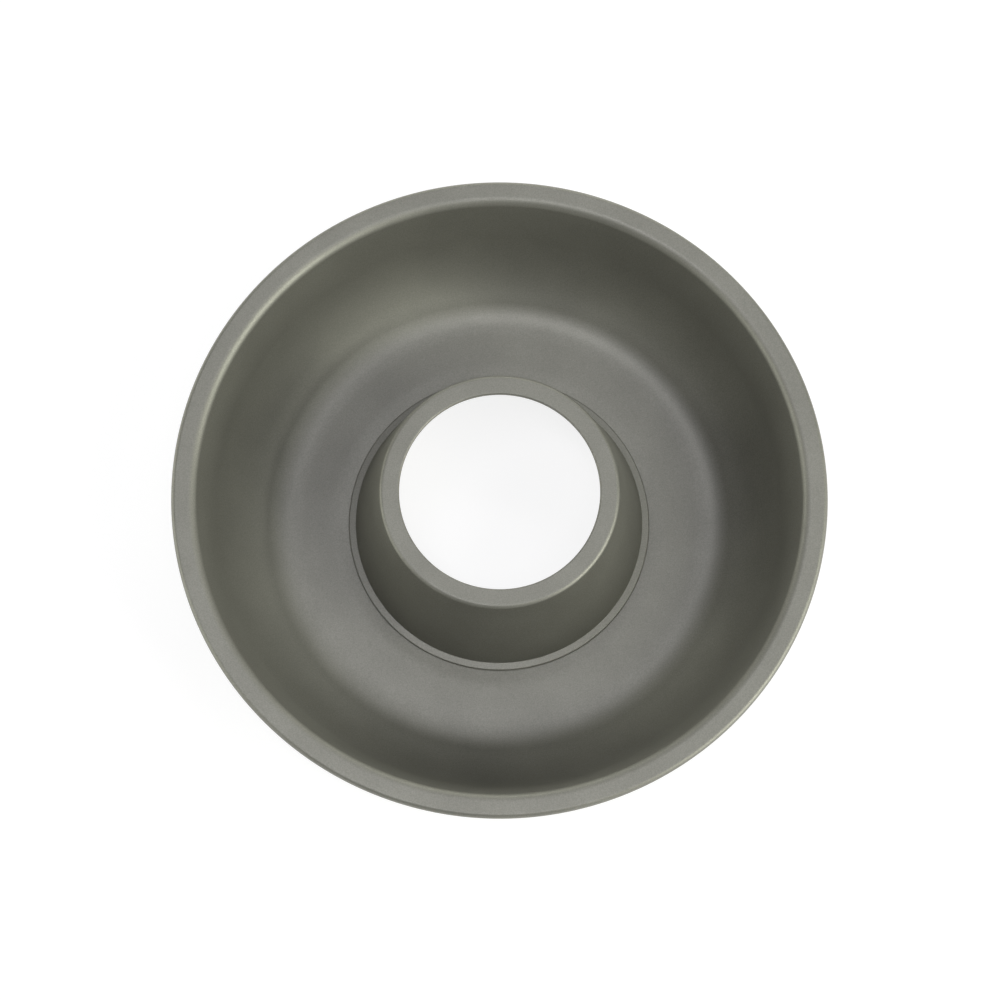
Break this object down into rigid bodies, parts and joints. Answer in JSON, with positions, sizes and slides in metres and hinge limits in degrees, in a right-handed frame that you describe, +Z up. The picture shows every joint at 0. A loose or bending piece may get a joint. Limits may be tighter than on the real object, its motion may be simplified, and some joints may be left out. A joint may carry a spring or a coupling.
{
  "type": "angel food cake pan",
  "caption": "Round ring-shaped cake pan with flared and then steeper wall, flat rim with rolled edge, and an open conical centre tube locked into its floor.",
  "frame": {"origin": "on the tube's axis, in the plane that the pan rests on", "axes": "+Z up along the axis of the tube; X and Y are alike, because both pieces are figures of revolution"},
  "size_m": [0.25, 0.25, 0.0541],
  "materials": {
    "coated_sheet": "satin non-stick coating with a fine grain"
  },
  "bodies": {
    "root": {"pan_body": "coated_sheet", "centre_tube": "coated_sheet"}
  },
  "joints": []
}
